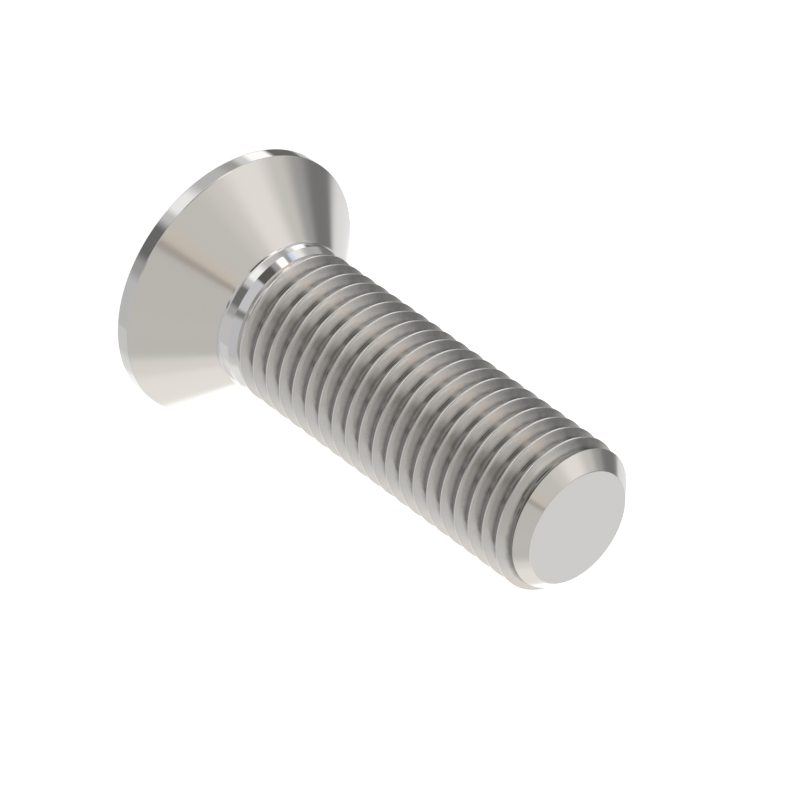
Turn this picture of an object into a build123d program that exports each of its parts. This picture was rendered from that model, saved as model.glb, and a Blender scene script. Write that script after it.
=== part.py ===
from build123d import *
from math import atan, ceil, cos, degrees, radians, tan
import os

# A countersunk head screw, M20 x 65, turned in one piece from stainless steel and threaded up to its
# head. It stands on its flat head: the origin is the centre of the head's flat face, and +Z runs
# along the shank to the tip. All sizes are in millimetres, and directions about the axis in degrees.

# Shank and thread
THREAD_DIAMETER = 20.0          # over the crests
THREAD_PITCH = 2.5
THREAD_ANGLE = 60.0             # between the two flanks of a groove
CREST_SHARE = 1 / 8             # what the flat crest leaves out of the sharp V, as a share of its height
ROOT_SHARE = 1 / 6              # what the flat root leaves out of the sharp V
FIRST_GROOVE_HEIGHT = 12.55     # centre of the first groove, where it faces -Y
FULL_DEPTH_TURN = -80.0         # where the groove reaches its full depth, counted from -Y
RUNOUT_TURN = 180.0             # turn over which the groove rises out of the shank

# Length and point
SCREW_LENGTH = 65.0             # from the head's flat face to the end face
TIP_DIAMETER = 15.2             # flat end face, smaller than the thread's core
TIP_CHAMFER_ANGLE = 45.0
TIP_EDGE_RADIUS = 0.2

# Countersunk head
HEAD_DIAMETER = 36.0
HEAD_RIM = 2.0                  # straight band round the head's edge
CONE_ANGLE = 90.0
RIM_EDGE_RADIUS = 0.25
UNDERHEAD_RADIUS = 0.8

# Hexagon socket, for a 12 mm key
SOCKET_WIDTH = 12.06            # across flats
SOCKET_DEPTH = 5.8
SOCKET_POINT_ANGLE = 120.0      # conical bottom
SOCKET_POINT_MARGIN = 0.1       # ledge between the conical bottom and the flats
SOCKET_MOUTH_ANGLE = 120.0      # countersunk mouth
SOCKET_MOUTH_MARGIN = 0.25      # how far the mouth reaches past the hexagon's corners

# Sizes that follow from the ones above
SHANK_R = THREAD_DIAMETER / 2
HEAD_R = HEAD_DIAMETER / 2
TIP_R = TIP_DIAMETER / 2
HEAD_HEIGHT = HEAD_RIM + (HEAD_R - SHANK_R) / tan(radians(CONE_ANGLE / 2))
CHAMFER_START = SCREW_LENGTH - (SHANK_R - TIP_R) / tan(radians(TIP_CHAMFER_ANGLE))
FLANK_SLOPE = tan(radians(THREAD_ANGLE / 2))
SHARP_HEIGHT = THREAD_PITCH / 2 / FLANK_SLOPE
GROOVE_DEPTH = SHARP_HEIGHT * (1 - CREST_SHARE - ROOT_SHARE)
GROOVE_OVERCUT = SHARP_HEIGHT * CREST_SHARE / 2     # cutter past the crests, clear of its next turn
ROOT_R = SHANK_R - GROOVE_DEPTH
ROOT_HALF_WIDTH = SHARP_HEIGHT * ROOT_SHARE * FLANK_SLOPE
FACING_MINUS_Y = 270.0


def turned_blank():
    """Head, rim, cone, fillet, shank and chamfered point, turned about the axis."""
    outline = Polyline(
        (0, 0),
        (HEAD_R, 0),
        (HEAD_R, HEAD_RIM),
        (SHANK_R, HEAD_HEIGHT),
        (SHANK_R, CHAMFER_START),
        (TIP_R, SCREW_LENGTH),
        (0, SCREW_LENGTH),
        close=True,
    )
    section = make_face(Plane.XZ * outline)
    rounded = [
        ((SHANK_R, 0, HEAD_HEIGHT), UNDERHEAD_RADIUS),
        ((HEAD_R, 0, 0), RIM_EDGE_RADIUS),
        ((HEAD_R, 0, HEAD_RIM), RIM_EDGE_RADIUS),
        ((TIP_R, 0, SCREW_LENGTH), TIP_EDGE_RADIUS),
    ]
    for corner, radius in rounded:
        section = fillet(section.vertices().sort_by_distance(corner)[0], radius)
    return revolve(section, Axis.Z)


def groove_section(height):
    """The groove cut through the axis: a V with a flat root, its centre at a height, facing +X."""
    mouth_r = SHANK_R + GROOVE_OVERCUT
    mouth_half_width = ROOT_HALF_WIDTH + (mouth_r - ROOT_R) * FLANK_SLOPE
    outline = Polyline(
        (ROOT_R, height - ROOT_HALF_WIDTH),
        (mouth_r, height - mouth_half_width),
        (mouth_r, height + mouth_half_width),
        (ROOT_R, height + ROOT_HALF_WIDTH),
        close=True,
    )
    return make_face(Plane.XZ * outline)


def thread_groove():
    """The full groove, one helix for each turn, from its start under the head to past the tip."""
    start = FIRST_GROOVE_HEIGHT + THREAD_PITCH * FULL_DEPTH_TURN / 360
    turns = ceil((SCREW_LENGTH - start) / THREAD_PITCH) + 1
    helices = [
        Helix(THREAD_PITCH, THREAD_PITCH, ROOT_R, center=(0, 0, start + turn * THREAD_PITCH))
        for turn in range(turns)
    ]
    groove = sweep(groove_section(start), path=Wire(helices), is_frenet=True)
    return Rot(0, 0, FACING_MINUS_Y + FULL_DEPTH_TURN) * groove


def thread_runout():
    """The groove's start: a helix on a cone that lifts the cutter out of the shank towards the head."""
    start = FIRST_GROOVE_HEIGHT + THREAD_PITCH * FULL_DEPTH_TURN / 360
    fall = THREAD_PITCH * RUNOUT_TURN / 360
    cone_angle = atan((GROOVE_DEPTH + GROOVE_OVERCUT) / fall)
    lift = Helix(
        THREAD_PITCH / cos(cone_angle),
        fall,
        ROOT_R,
        center=(0, 0, start),
        direction=(0, 0, -1),
        cone_angle=degrees(cone_angle),
    )
    facing_plus_x = Rot(0, 0, 180) * lift      # a helix that runs down starts on -X
    runout = sweep(groove_section(start), path=facing_plus_x, is_frenet=True)
    return Rot(0, 0, FACING_MINUS_Y + FULL_DEPTH_TURN) * runout


def hexagon_socket():
    """The recess for the key: countersunk mouth, hexagon and conical bottom."""
    from_face = (Align.CENTER, Align.CENTER, Align.MIN)
    hexagon = RegularPolygon(SOCKET_WIDTH / 2, 6, major_radius=False)
    flats = extrude(hexagon, SOCKET_DEPTH)
    point_r = SOCKET_WIDTH / 2 - SOCKET_POINT_MARGIN
    point_height = point_r / tan(radians(SOCKET_POINT_ANGLE / 2))
    point = Pos(0, 0, SOCKET_DEPTH) * Cone(point_r, 0, point_height, align=from_face)
    mouth_r = SOCKET_WIDTH / 2 / cos(radians(30)) + SOCKET_MOUTH_MARGIN
    mouth_height = mouth_r / tan(radians(SOCKET_MOUTH_ANGLE / 2))
    mouth = Cone(mouth_r, 0, mouth_height, align=from_face)
    return flats + point + mouth


screw = turned_blank() - thread_groove() - thread_runout() - hexagon_socket()
screw.label = "screw"

os.makedirs("parts", exist_ok=True)
export_step(screw, "parts/screw.step")
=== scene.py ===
from math import cos, pi, radians, sin, tan

import bpy
from mathutils import Matrix, Vector


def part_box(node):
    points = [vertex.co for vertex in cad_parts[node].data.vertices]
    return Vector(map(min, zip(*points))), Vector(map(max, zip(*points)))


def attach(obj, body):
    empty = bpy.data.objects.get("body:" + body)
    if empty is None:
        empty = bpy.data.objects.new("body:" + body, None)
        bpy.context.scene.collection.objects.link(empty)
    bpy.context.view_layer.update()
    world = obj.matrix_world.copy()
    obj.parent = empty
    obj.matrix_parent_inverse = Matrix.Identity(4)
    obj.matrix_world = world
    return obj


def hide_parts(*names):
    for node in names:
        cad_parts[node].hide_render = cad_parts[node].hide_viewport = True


# A countersunk head screw, M20 x 65, of stainless steel. It stands on its head: +Z runs to the tip.
# Lengths are written in millimetres and turned into metres where they are used.

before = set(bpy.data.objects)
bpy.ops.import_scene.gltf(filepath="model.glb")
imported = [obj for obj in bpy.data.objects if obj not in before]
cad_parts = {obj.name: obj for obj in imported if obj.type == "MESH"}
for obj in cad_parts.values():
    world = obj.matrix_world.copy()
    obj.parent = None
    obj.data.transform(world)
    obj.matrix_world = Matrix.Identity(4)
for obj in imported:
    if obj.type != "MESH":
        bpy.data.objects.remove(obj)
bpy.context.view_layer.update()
screw_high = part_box("screw")[1]

MM = 0.001
HEAD_R = screw_high.x / MM
LENGTH = screw_high.z / MM

# Turned blank
SHANK_R = 10.0
HEAD_RIM = 2.0
HEAD_HEIGHT = HEAD_RIM + HEAD_R - SHANK_R        # a 90 degree cone rises as much as it narrows
UNDERHEAD_RADIUS = 0.8
RIM_EDGE_RADIUS = 0.25
TIP_R = 7.6
CHAMFER_START = LENGTH - (SHANK_R - TIP_R)
TIP_EDGE_RADIUS = 0.2
SEGMENTS = 192                                   # round the axis
FOOT_STEPS, RIM_STEPS, NECK_STEPS, TIP_STEPS = 5, 4, 8, 4
MERGE_DISTANCE = 0.001
SMOOTH_ANGLE = 22.0                              # over the arcs' steps, under a crest edge's 30 degrees

# Thread
PITCH = 2.5
FLANK_SLOPE = tan(radians(30))                   # the groove's half widens this much for each unit of radius
SHARP_HEIGHT = PITCH / 2 / FLANK_SLOPE
GROOVE_DEPTH = SHARP_HEIGHT * 17 / 24
ROOT_R = SHANK_R - GROOVE_DEPTH
ROOT_HALF_WIDTH = SHARP_HEIGHT / 6 * FLANK_SLOPE
ROOT_RADIUS = 0.52
ROOT_STEPS = 7
CREST_EDGE = 0.08                                # width of the bright edge where a crest meets its flank
CREST_WEAR = 0.10                                # what rolling takes off a crest's underside
GROOVE_OVERCUT = 0.02                            # past the crests, clear of the next turn
FIRST_GROOVE_HEIGHT = 12.55                      # centre of the first groove, facing -Y
FULL_DEPTH_TURN = -80.0                          # the groove is at full depth here, in degrees from -Y
RUNOUT_TURN = 180.0                              # turn over which it rises out of the shank
FACING_MINUS_Y = 270.0

# First turn of the groove, whose lower side is a shallow cone off the collar
COLLAR_FOOT = (9.516, 0.067)                     # radius, and height over the groove's centre, of its end
COLLAR_CONE_SLOPE = tan(radians(24))
COLLAR_CONE_TURN = 100.0                         # the cone lasts up to here, in degrees from -Y
COLLAR_CONE_FADE = 180.0                         # turn over which it then changes to the usual section
FIRST_ROOT_RADIUS = 0.30

# Hexagon socket
SOCKET_WIDTH = 12.06
SOCKET_DEPTH = 5.8
SOCKET_POINT_R = 5.93
SOCKET_MOUTH_R = 7.21
SOCKET_CLEARANCE = 1.0                           # how far the hexagon's cutter sticks out of the face
MOUTH_CLEARANCE = 0.001
CONE_TO_DEPTH = tan(radians(30))                 # depth of a 120 degree cone for each unit of radius

# Finish of the blank
FLAT = 0.99                                      # a face whose normal is this far along Z is a faced end
RIM_SHINE = 0.15                                 # the bright rim reaches this far up the cone
NECK_SHINE = (0.3, 0.4)                          # the bright neck, below and above the head's height
SHANK_MARGIN = 0.01                              # a face this far inside the shank is past the thread

# Finish of the thread, with painted shade in its roots. Patches shift the borders and vary the satin, as
# worn dies do.
ROOT_SHADE_FADE = (0.10, 0.80)                         # outside the root: the painted shade fades out
ROOT_POLISH = (0.35, 0.70)                       # outside the root: the clear reflection turns to satin
CREST_BAND = (0.05, 0.01)                        # inside the crest: the burnished band fades in
BRIGHT_GROOVE = (12.9, 13.3)                     # heights between which the first groove's shine ends
PATCH_SIZE = 1.1
PATCH_SHIFT = 0.05
PATCH_SPREAD = (0.3, 0.7)                        # the noise texture's usual values
LINE_GAP = 0.12                                  # coarser than on a real thread, so that the lines show
LINE_LENGTH = 3.0
LINE_RELIEF = 0.004
CLEAR, POLISHED, BURNISHED = 0.03, 0.05, 0.28    # roughness of root, first groove and crest
SATIN = (0.12, 0.26)                             # roughness of the flanks, smoothest to dullest patch

# Photograph's camera, on the YZ plane, fitted to the screw's outline
CAMERA_ELEVATION = 36.83
CAMERA_ROLL = 125.67
CAMERA_DISTANCE = 730.0
AIM_HEIGHT = 32.64
LENS = 270.2
VIEW_END = 20000.0

FLOOR_SIZE = 6000.0
FLOOR_GLOW = 0.62
FLOOR_ROUGHNESS = 0.9


def linear(hex_colour):
    """sRGB hex, as in a colour picker, to the linear colour that a shader takes."""
    parts = [int(hex_colour[i:i + 2], 16) / 255 for i in (0, 2, 4)]
    return tuple(c / 12.92 if c <= 0.04045 else ((c + 0.055) / 1.055) ** 2.4 for c in parts) + (1.0,)


def add(tree, kind, links=None, **settings):
    """Adds a node, sets its properties and inputs, and links its inputs to other nodes' outputs."""
    made = tree.nodes.new(kind)
    for name, value in settings.items():
        if not name.startswith("in_"):
            setattr(made, name, value)
        else:
            key = name[3:]
            made.inputs[int(key) if key.isdigit() else key.replace("_", " ")].default_value = value
    for key, output in (links or {}).items():
        tree.links.new(output, made.inputs[key])
    return made


# Materials

def metal(name, colour, roughness):
    """A bare metal: no diffuse, the reflection takes the metal's colour, default IOR."""
    material = bpy.data.materials.new(name)
    material.use_nodes = True
    tree = material.node_tree
    shader = tree.nodes["Principled BSDF"]
    shader.inputs["Base Color"].default_value = linear(colour)
    shader.inputs["Metallic"].default_value = 1.0
    shader.inputs["Roughness"].default_value = roughness
    return material, tree, shader


def place_radius_height(tree):
    """A point on the screw, its distance from the axis and its height, in metres."""
    place = add(tree, "ShaderNodeTexCoord").outputs["Object"]
    split = add(tree, "ShaderNodeSeparateXYZ", {0: place})
    across = add(tree, "ShaderNodeCombineXYZ", {0: split.outputs[0], 1: split.outputs[1]})
    radius = add(tree, "ShaderNodeVectorMath", {0: across.outputs[0]}, operation="LENGTH")
    return place, radius.outputs["Value"], split.outputs[2]


def turned_steel(name, colour, roughness, feed, relief):
    """Stainless steel cut on a lathe: fine rings at the tool's feed, in mm, on a bright ground."""
    material, tree, shader = metal(name, colour, roughness)
    radius, height = place_radius_height(tree)[1:]
    along = add(tree, "ShaderNodeCombineXYZ", {0: radius, 1: height})
    rings = add(tree, "ShaderNodeTexNoise", {"Vector": along.outputs[0]},
                in_Scale=1 / (feed * MM), in_Detail=2.0)
    bump = add(tree, "ShaderNodeBump", {"Height": rings.outputs["Fac"]},
               in_Strength=1.0, in_Distance=relief * MM)
    tree.links.new(bump.outputs[0], shader.inputs["Normal"])
    return material


def rolled_steel(name, crest_colour, flank_colour, root_shade_colour):
    """Stainless steel formed by thread dies: burnished crests, satin flanks with drawn lines along the
    helix, and roots with clear reflections whose colour is darkened as painted shade.
    The first groove stays as bright as the lathe cut it, without the painted shade."""
    material, tree, shader = metal(name, flank_colour, SATIN[1])
    place, radius, height = place_radius_height(tree)
    patches = add(tree, "ShaderNodeTexNoise", {"Vector": place},
                  in_Scale=1 / (PATCH_SIZE * MM), in_Detail=1.0)
    uneven = add(tree, "ShaderNodeMapRange", {"Value": patches.outputs["Fac"]},
                 in_From_Min=PATCH_SPREAD[0], in_From_Max=PATCH_SPREAD[1],
                 in_To_Min=-PATCH_SHIFT * MM, in_To_Max=PATCH_SHIFT * MM)
    from_root = add(tree, "ShaderNodeMath", {0: radius, 1: uneven.outputs[0]}, operation="ADD")
    flank = add(tree, "ShaderNodeMapRange", {"Value": from_root.outputs[0]}, interpolation_type="SMOOTHSTEP",
                in_From_Min=(ROOT_R + ROOT_SHADE_FADE[0]) * MM, in_From_Max=(ROOT_R + ROOT_SHADE_FADE[1]) * MM)
    dull = add(tree, "ShaderNodeMapRange", {"Value": from_root.outputs[0]}, interpolation_type="SMOOTHSTEP",
               in_From_Min=(ROOT_R + ROOT_POLISH[0]) * MM, in_From_Max=(ROOT_R + ROOT_POLISH[1]) * MM)
    crest = add(tree, "ShaderNodeMapRange", {"Value": radius}, interpolation_type="SMOOTHSTEP",
                in_From_Min=(SHANK_R - CREST_BAND[0]) * MM, in_From_Max=(SHANK_R - CREST_BAND[1]) * MM)
    rolled = add(tree, "ShaderNodeMapRange", {"Value": height}, interpolation_type="SMOOTHSTEP",
                 in_From_Min=BRIGHT_GROOVE[0] * MM, in_From_Max=BRIGHT_GROOVE[1] * MM)

    # Painted shade: the roots get a darker colour than the flanks, as if shade fell in the groove, fading
    # out towards the flank
    colour = add(tree, "ShaderNodeMix", {0: flank.outputs[0]}, data_type="RGBA",
                 in_6=linear(root_shade_colour), in_7=linear(flank_colour))
    colour = add(tree, "ShaderNodeMix", {0: crest.outputs[0], 6: colour.outputs[2]}, data_type="RGBA",
                 in_7=linear(crest_colour))
    colour = add(tree, "ShaderNodeMix", {0: rolled.outputs[0], 7: colour.outputs[2]}, data_type="RGBA",
                 in_6=linear(crest_colour))
    tree.links.new(colour.outputs[2], shader.inputs["Base Color"])

    satin = add(tree, "ShaderNodeMapRange", {"Value": patches.outputs["Fac"]},
                in_From_Min=PATCH_SPREAD[0], in_From_Max=PATCH_SPREAD[1],
                in_To_Min=SATIN[0], in_To_Max=SATIN[1])
    roughness = add(tree, "ShaderNodeMix", {0: dull.outputs[0], 3: satin.outputs[0]}, in_2=CLEAR)
    roughness = add(tree, "ShaderNodeMix", {0: crest.outputs[0], 2: roughness.outputs[0]}, in_3=BURNISHED)
    roughness = add(tree, "ShaderNodeMix", {0: rolled.outputs[0], 3: roughness.outputs[0]}, in_2=POLISHED)
    tree.links.new(roughness.outputs[0], shader.inputs["Roughness"])

    # Drawn lines change fast with the radius and slowly round the axis
    slow = add(tree, "ShaderNodeVectorMath", {0: place}, operation="SCALE", in_3=1 / (LINE_LENGTH * MM))
    round_axis = add(tree, "ShaderNodeSeparateXYZ", {0: slow.outputs[0]})
    fast = add(tree, "ShaderNodeMath", {0: radius}, operation="MULTIPLY", in_1=1 / (LINE_GAP * MM))
    drawn = add(tree, "ShaderNodeCombineXYZ",
                {0: round_axis.outputs[0], 1: round_axis.outputs[1], 2: fast.outputs[0]})
    lines = add(tree, "ShaderNodeTexNoise", {"Vector": drawn.outputs[0]}, in_Scale=1.0, in_Detail=2.0)
    worked = add(tree, "ShaderNodeMath", {0: rolled.outputs[0], 1: flank.outputs[0]}, operation="MULTIPLY")
    relief = add(tree, "ShaderNodeMath", {0: worked.outputs[0]}, operation="MULTIPLY", in_1=LINE_RELIEF * MM)
    bump = add(tree, "ShaderNodeBump", {"Height": lines.outputs["Fac"], "Distance": relief.outputs[0]},
               in_Strength=1.0)
    tree.links.new(bump.outputs[0], shader.inputs["Normal"])
    return material


# Cone and chamfer: a soft shine
TURNED = turned_steel("turned_stainless_steel", "E0DEDB", 0.13, 0.15, 0.0006)
# Rim and under-head fillet, finish turned: almost a mirror
BRIGHT = turned_steel("bright_turned_stainless_steel", "DFDEDC", 0.06, 0.2, 0.0002)
# Thread: satin flanks between bright crests and clear roots, whose darker colour is painted shade
ROLLED = rolled_steel("rolled_thread_stainless_steel", "E8E6E3", "D3D1CE", "8C8A86")
# Head's flat face and tip, faced off: even and duller
FACED = turned_steel("faced_stainless_steel", "DEDDDB", 0.30, 0.2, 0.0006)
# Socket, cut by a broach: darker and dull
BROACHED = turned_steel("broached_socket_stainless_steel", "C8C6C3", 0.30, 0.3, 0.001)


# Modelling

def start_fresh():
    """Leaves nothing selected, so that the next tool acts on its own piece alone."""
    bpy.ops.object.select_all(action="DESELECT")


def pick(piece):
    """Selects one piece alone and makes it active."""
    start_fresh()
    piece.select_set(True)
    bpy.context.view_layer.objects.active = piece


def outline(name, points, closed):
    """A line of edges in the XZ plane, drawn from one vertex by extruding it from point to point."""
    start_fresh()
    bpy.ops.mesh.primitive_plane_add(size=MM, location=(points[0][0] * MM, 0, points[0][1] * MM))
    piece = bpy.context.object
    piece.name = name
    bpy.ops.object.mode_set(mode="EDIT")
    bpy.ops.mesh.merge(type="CENTER")
    for (r0, z0), (r1, z1) in zip(points, points[1:]):
        step = ((r1 - r0) * MM, 0, (z1 - z0) * MM)
        bpy.ops.mesh.extrude_region_move(TRANSFORM_OT_translate={"value": step})
    if closed:
        bpy.ops.mesh.select_all(action="SELECT")
        bpy.ops.mesh.edge_face_add()
    bpy.ops.object.mode_set(mode="OBJECT")
    bpy.ops.object.transform_apply(location=True, rotation=True, scale=True)
    return piece


def corner(before, point, after, radius, steps):
    """Points of an arc of that radius that rounds a corner of an outline."""
    a = (Vector(before) - Vector(point)).normalized()
    b = (Vector(after) - Vector(point)).normalized()
    half = a.angle(b) / 2
    reach = radius / tan(half)
    centre = Vector(point) + (a + b).normalized() * radius / sin(half)
    first = Vector(point) + a * reach - centre
    turn = first.angle_signed(Vector(point) + b * reach - centre)
    arc = [centre + Matrix.Rotation(-turn * i / steps, 2) @ first for i in range(steps + 1)]
    return [tuple(p) for p in arc]


def apply(piece, kind, **settings):
    """Adds a modifier, sets it and applies it."""
    pick(piece)
    made = piece.modifiers.new(kind.lower(), kind)
    for name, value in settings.items():
        setattr(made, name, value)
    bpy.ops.object.modifier_apply(modifier=made.name)


def close_and_turn_out(piece):
    """Merges doubles and points every face outwards."""
    pick(piece)
    bpy.ops.object.mode_set(mode="EDIT")
    bpy.ops.mesh.select_all(action="SELECT")
    bpy.ops.mesh.remove_doubles(threshold=MERGE_DISTANCE * MM)
    bpy.ops.mesh.normals_make_consistent(inside=False)
    bpy.ops.object.mode_set(mode="OBJECT")


def close_ends(piece):
    """Fills a tube's two open ends."""
    pick(piece)
    bpy.ops.object.mode_set(mode="EDIT")
    bpy.ops.mesh.select_all(action="SELECT")
    bpy.ops.mesh.fill_holes(sides=0)
    bpy.ops.mesh.select_all(action="SELECT")
    bpy.ops.mesh.normals_make_consistent(inside=False)
    bpy.ops.object.mode_set(mode="OBJECT")


def cut(piece, cutter):
    """Takes the cutter out of the piece and deletes it. The cut faces keep the cutter's material."""
    apply(piece, "BOOLEAN", operation="DIFFERENCE", solver="EXACT", material_mode="TRANSFER", object=cutter)
    bpy.data.objects.remove(cutter)


def turned_blank():
    """Head, cone, fillet, shank and chamfered point, spun from one outline."""
    foot = (HEAD_R, 0)
    rim = (HEAD_R, HEAD_RIM)
    neck = (SHANK_R, HEAD_HEIGHT)
    shoulder = (SHANK_R, CHAMFER_START)
    end = (TIP_R, LENGTH)
    points = [(0, 0), (HEAD_R / 2, 0)]
    points += corner((0, 0), foot, rim, RIM_EDGE_RADIUS, FOOT_STEPS)
    points += corner(foot, rim, neck, RIM_EDGE_RADIUS, RIM_STEPS)
    points += corner(rim, neck, shoulder, UNDERHEAD_RADIUS, NECK_STEPS)
    points += [shoulder]
    points += corner(shoulder, end, (0, LENGTH), TIP_EDGE_RADIUS, TIP_STEPS)
    points += [(TIP_R / 2, LENGTH), (0, LENGTH)]
    blank = outline("screw_body", points, closed=False)
    bpy.ops.object.mode_set(mode="EDIT")
    bpy.ops.mesh.select_all(action="SELECT")
    bpy.ops.mesh.spin(steps=SEGMENTS, angle=2 * pi, center=(0, 0, 0), axis=(0, 0, 1))
    bpy.ops.object.mode_set(mode="OBJECT")
    close_and_turn_out(blank)
    return blank


def half_width(r):
    """Half of the groove's width at a radius."""
    return ROOT_HALF_WIDTH + (r - ROOT_R) * FLANK_SLOPE


def groove_outline():
    """The cutter's section: a V with a rounded root, flared at its mouth to break the crest's edges."""
    flare_r = SHANK_R - CREST_EDGE / 2
    mouth_r = SHANK_R + GROOVE_OVERCUT
    mouth_half = half_width(flare_r) + (mouth_r - flare_r) / FLANK_SLOPE
    sharp_root = (ROOT_R - (ROOT_HALF_WIDTH + CREST_WEAR / 2) / FLANK_SLOPE, CREST_WEAR / 2)
    flank_low = (flare_r, -half_width(flare_r))
    flank_high = (flare_r, half_width(flare_r) + CREST_WEAR)
    points = [(mouth_r, -mouth_half), flank_low, (COLLAR_FOOT[0], -half_width(COLLAR_FOOT[0]))]
    points += corner(flank_low, sharp_root, flank_high, ROOT_RADIUS, ROOT_STEPS)
    points += [flank_high, (mouth_r, mouth_half + CREST_WEAR)]
    return points


def first_turn_outline(section):
    """The first turn's section, point for point: its lower side is a shallow cone off the collar at first,
    so its V is less deep."""
    foot_r, foot_z = COLLAR_FOOT
    cone = [(r, foot_z - (r - foot_r) / COLLAR_CONE_SLOPE) for r in (section[0][0], section[1][0])]
    flank_high = section[-2]
    top_r, top_z = flank_high
    sharp_r = (top_r + foot_r - (top_z - foot_z) / FLANK_SLOPE) / 2
    sharp_root = (sharp_r, foot_z + (foot_r - sharp_r) * FLANK_SLOPE)
    root = corner(COLLAR_FOOT, sharp_root, flank_high, FIRST_ROOT_RADIUS, ROOT_STEPS)
    return cone + [COLLAR_FOOT] + root + section[-2:]


def groove_cutter():
    """The groove's section screwed up the shank. Its first half turn rises out of the shank at the head."""
    section = groove_outline()
    first_turn = first_turn_outline(section)
    cutter = outline("groove_cutter", section, closed=True)
    start_turn = FULL_DEPTH_TURN - RUNOUT_TURN
    start_height = FIRST_GROOVE_HEIGHT + PITCH * start_turn / 360
    turns = int((LENGTH - start_height) / PITCH) + 2
    apply(cutter, "SCREW", axis="Z", angle=2 * pi, screw_offset=PITCH * MM, iterations=turns,
          steps=SEGMENTS, render_steps=SEGMENTS)
    # The modifier hands the section's points on in another order, the same at each step
    drawn = [Vector((vertex.co.x, vertex.co.z)) / MM for vertex in cutter.data.vertices[:len(section)]]
    order = [min(range(len(section)), key=lambda k: (Vector(section[k]) - place).length) for place in drawn]
    runout_steps = RUNOUT_TURN / 360 * SEGMENTS
    for index, vertex in enumerate(cutter.data.vertices):
        step, point = divmod(index, len(section))
        lift = max(0.0, 1 - step / runout_steps) * (GROOVE_DEPTH + GROOVE_OVERCUT)
        past = start_turn + 360 * step / SEGMENTS - COLLAR_CONE_TURN
        first_share = min(max(1 - past / COLLAR_CONE_FADE, 0.0), 1.0)
        (r, z), (first_r, first_z) = section[order[point]], first_turn[order[point]]
        outwards = Vector((vertex.co.x, vertex.co.y, 0)).normalized()
        vertex.co += outwards * (lift + first_share * (first_r - r)) * MM
        vertex.co.z += first_share * (first_z - z) * MM
    cutter.rotation_euler.z = radians(FACING_MINUS_Y + start_turn)
    cutter.location.z = start_height * MM
    bpy.ops.object.transform_apply(location=True, rotation=True, scale=True)
    close_ends(cutter)
    return cutter


def hexagon_cutter():
    """The socket's flats, with two corners on the X axis."""
    start_fresh()
    corner_r = SOCKET_WIDTH / 2 / cos(radians(30))
    bpy.ops.mesh.primitive_cylinder_add(
        vertices=6, radius=corner_r * MM, depth=(SOCKET_DEPTH + SOCKET_CLEARANCE) * MM,
        location=(0, 0, (SOCKET_DEPTH - SOCKET_CLEARANCE) / 2 * MM), rotation=(0, 0, radians(30)))
    cutter = bpy.context.object
    cutter.name = "socket_cutter"
    bpy.ops.object.transform_apply(location=True, rotation=True, scale=True)
    return cutter


def cone_cutter(name, radius, base_height):
    """A 120 degree cone that points up, for the socket's bottom and for its mouth."""
    start_fresh()
    rise = radius * CONE_TO_DEPTH
    bpy.ops.mesh.primitive_cone_add(
        vertices=SEGMENTS, radius1=radius * MM, radius2=0, depth=rise * MM,
        location=(0, 0, (base_height + rise / 2) * MM))
    cutter = bpy.context.object
    cutter.name = name
    bpy.ops.object.transform_apply(location=True, rotation=True, scale=True)
    return cutter


# The screw

screw = turned_blank()
finishes = [TURNED, BRIGHT, ROLLED, FACED]
for finish in finishes:
    screw.data.materials.append(finish)
for face in screw.data.polygons:
    out, up = face.center.xy.length / MM, face.center.z / MM
    if abs(face.normal.z) > FLAT:
        finish = FACED
    elif up < HEAD_RIM + RIM_SHINE or HEAD_HEIGHT - NECK_SHINE[0] < up < HEAD_HEIGHT + NECK_SHINE[1]:
        finish = BRIGHT
    elif out > SHANK_R - SHANK_MARGIN and up > HEAD_HEIGHT:
        finish = ROLLED
    else:
        finish = TURNED
    face.material_index = finishes.index(finish)

groove = groove_cutter()
groove.data.materials.append(ROLLED)
cut(screw, groove)
socket_tools = (
    hexagon_cutter(),
    cone_cutter("socket_point", SOCKET_POINT_R, SOCKET_DEPTH),
    cone_cutter("socket_mouth", SOCKET_MOUTH_R, -MOUTH_CLEARANCE),
)
for tool in socket_tools:
    tool.data.materials.append(BROACHED)
    cut(screw, tool)
close_and_turn_out(screw)
pick(screw)
bpy.ops.object.shade_smooth_by_angle(angle=radians(SMOOTH_ANGLE))
apply(screw, "WEIGHTED_NORMAL", keep_sharp=True)

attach(screw, "root")
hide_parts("screw")


# Floor

# White acrylic lit from behind: it looks plain white and leaves the screw's shadow faint. The screw
# mirrors panels that lie lower than the floor, all round and from below, as if it hung free in its
# studio. So the floor is left out of mirror-like reflections and lets those panels' light through.
start_fresh()
bpy.ops.mesh.primitive_plane_add(size=FLOOR_SIZE * MM, location=(0, 0, 0))
floor = bpy.context.object
floor.name = "floor"
acrylic = bpy.data.materials.new("lit_white_acrylic")
acrylic.use_nodes = True
acrylic_shader = acrylic.node_tree.nodes["Principled BSDF"]
acrylic_shader.inputs["Base Color"].default_value = linear("FAFAFA")
acrylic_shader.inputs["Roughness"].default_value = FLOOR_ROUGHNESS
acrylic_shader.inputs["Emission Color"].default_value = linear("FFFFFF")
acrylic_shader.inputs["Emission Strength"].default_value = FLOOR_GLOW
floor.data.materials.append(acrylic)
floor.visible_glossy = False
floor.visible_shadow = False


# Light

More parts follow.
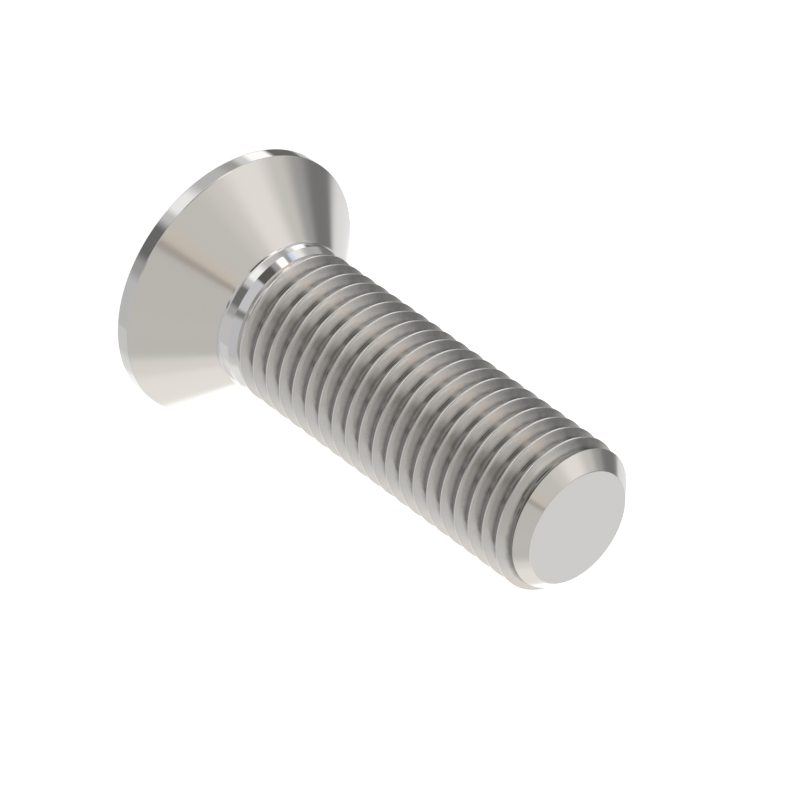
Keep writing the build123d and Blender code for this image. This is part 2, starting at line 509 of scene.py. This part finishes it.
# The studio, as the screw sees it: panels on rings of walls. Each panel has the azimuths, in degrees, where
# it starts and ends, a brightness and a tint, and the gap to the next one is a soft seam.
WHITE, IVORY, SAND, BLUSH, FROST, SKY = "FFFFFF", "FFFCF7", "FFF5EA", "FFF4EC", "F4F6FC", "DAE2FF"
LOW_RING = (                                     # shows in the rim, the collar and the crests
    (0, 22, 0.72, WHITE), (34, 44, 0.86, WHITE), (54, 92, 1.12, WHITE), (98, 102, 1.00, WHITE),
    (110, 116, 0.62, WHITE), (124, 149, 0.17, WHITE), (156, 171, 1.32, WHITE), (178, 181, 0.80, WHITE),
    (189, 193, 0.44, WHITE), (205, 222, 0.60, WHITE), (239, 251, 1.08, WHITE), (258, 261, 0.68, WHITE),
    (272, 293, 0.18, WHITE), (304, 308, 0.42, WHITE), (320, 360, 0.62, WHITE),
)
MIDDLE_RING = (                                  # shows at the far sides of the cone and in the roots
    (0, 8, 0.70, WHITE), (16, 48, 0.90, WHITE), (60, 88, 1.36, WHITE), (100, 116, 0.88, WHITE),
    (131, 141, 0.22, WHITE), (152, 166, 0.50, WHITE), (178, 188, 0.65, WHITE), (197, 210, 1.16, BLUSH),
    (226, 246, 0.95, WHITE), (266, 276, 0.44, IVORY), (290, 306, 0.64, WHITE), (325, 360, 0.71, WHITE),
)
RIGHT_SIDE = ((80, 108, 0.84, WHITE), (128, 139, 0.22, WHITE), (150, 151, 0.42, WHITE))
FRONT = ((228, 247, 0.12, IVORY), (251, 291, 0.72, FROST), (297, 300, 0.25, WHITE), (308, 360, 0.65, FROST))
EYE_RING = (                                     # shows in the roots, the crests' edges and the cone's sides
    (0, 10, 0.64, IVORY), (21, 25, 0.88, IVORY), (34, 66, 1.00, IVORY), *RIGHT_SIDE,
    (162, 170, 0.72, IVORY), (178, 192, 1.00, WHITE), (202, 215, 1.05, WHITE), (220, 222, 0.45, WHITE),
    *FRONT,
)
LAMP_RING = (                                    # narrow, for the small bright squares in the first groove
    (0, 10, 0.57, WHITE), (21, 25, 0.76, WHITE), (36, 66, 1.00, IVORY), *RIGHT_SIDE,
    (162, 169, 0.72, IVORY), (174, 180, 0.55, WHITE), (187, 195, 1.05, SKY), (199, 202, 0.40, WHITE),
    (207, 212, 1.90, WHITE), (218, 221, 0.40, WHITE), *FRONT,
)
HIGH_RING = (                                    # shows in the cone, the chamfer and the flanks
    (0, 10, 0.64, IVORY), (21, 29, 0.74, WHITE), (36, 38, 0.85, WHITE), (46, 66, 1.00, IVORY), *RIGHT_SIDE,
    (162, 165, 0.70, IVORY), (181, 194, 0.98, IVORY), (213, 215, 0.77, IVORY), (230, 258, 0.69, IVORY),
    (268, 275, 0.72, SAND), (280, 283, 0.43, SAND), (288, 334, 0.64, IVORY), (345, 360, 0.65, IVORY),
)
# Each ring over the lowest, with the elevations, in degrees, between which it takes over
HIGHER_RINGS = (
    (MIDDLE_RING, -34, -27), (EYE_RING, -6, -3), (LAMP_RING, -1, 0), (EYE_RING, 8, 10), (HIGH_RING, 22, 27),
)
CEILING = (0.60, IVORY)
CEILING_SEAM = (62, 78)


def tinted(level, tint):
    """A tint at a brightness."""
    return tuple(level * c for c in linear(tint)[:3]) + (1.0,)


def ring(tree, turn, panels):
    """A ring of panels: a colour ramp round the horizon."""
    made = add(tree, "ShaderNodeValToRGB", {0: turn})
    ramp = made.color_ramp
    ramp.interpolation = "EASE"
    edges = [(at, level, tint) for start, end, level, tint in panels for at in (start, end)]
    ramp.elements[0].position, ramp.elements[1].position = 0.0, 1.0
    for at, level, tint in edges[1:-1]:
        ramp.elements.new(at / 360).color = tinted(level, tint)
    ramp.elements[0].color = tinted(*edges[0][1:])
    ramp.elements[len(edges) - 1].color = tinted(*edges[-1][1:])
    return made.outputs["Color"]


def stack(tree, elevation, below, above, low, high):
    """One ring over another, with a soft seam between two elevations."""
    seam = add(tree, "ShaderNodeMapRange", {"Value": elevation}, interpolation_type="SMOOTHSTEP",
               in_From_Min=radians(low), in_From_Max=radians(high))
    both = add(tree, "ShaderNodeMix", {0: seam.outputs[0], 6: below, 7: above}, data_type="RGBA")
    return both.outputs[2]


world = bpy.data.worlds.new("studio")
bpy.context.scene.world = world
world.use_nodes = True
sky = world.node_tree
looking = add(sky, "ShaderNodeTexCoord").outputs["Generated"]
# The opposite direction puts the arc tangent's jump at azimuth 0, where the ramps start
turned_round = add(sky, "ShaderNodeVectorMath", {0: looking}, operation="SCALE", in_3=-1.0)
opposite = add(sky, "ShaderNodeSeparateXYZ", {0: turned_round.outputs[0]})
azimuth = add(sky, "ShaderNodeMath", {0: opposite.outputs[1], 1: opposite.outputs[0]}, operation="ARCTAN2")
whole_turn = add(sky, "ShaderNodeMapRange", {"Value": azimuth.outputs[0]}, in_From_Min=-pi, in_From_Max=pi)
turn = whole_turn.outputs[0]
sunk = add(sky, "ShaderNodeMath", {0: opposite.outputs[2]}, operation="ARCSINE")
raised = add(sky, "ShaderNodeMath", {0: sunk.outputs[0]}, operation="MULTIPLY", in_1=-1.0)
elevation = raised.outputs[0]
walls = ring(sky, turn, LOW_RING)
for panels, low, high in HIGHER_RINGS:
    walls = stack(sky, elevation, walls, ring(sky, turn, panels), low, high)
ceiling = add(sky, "ShaderNodeRGB")
ceiling.outputs[0].default_value = tinted(*CEILING)
walls = stack(sky, elevation, walls, ceiling.outputs[0], *CEILING_SEAM)
sky.links.new(walls, sky.nodes["Background"].inputs["Color"])


# Camera

camera_data = bpy.data.cameras.new("camera")
camera_data.lens = LENS
camera_data.clip_end = VIEW_END * MM
camera = bpy.data.objects.new("camera", camera_data)
bpy.context.scene.collection.objects.link(camera)
aim = Matrix.Translation((0, 0, AIM_HEIGHT * MM))
tilt = Matrix.Rotation(radians(90 - CAMERA_ELEVATION), 4, "X")
roll = Matrix.Rotation(radians(CAMERA_ROLL), 4, "Z")
back = Matrix.Translation((0, 0, CAMERA_DISTANCE * MM))
camera.matrix_world = aim @ tilt @ roll @ back
bpy.context.scene.camera = camera
bpy.context.scene.view_settings.view_transform = "Standard"
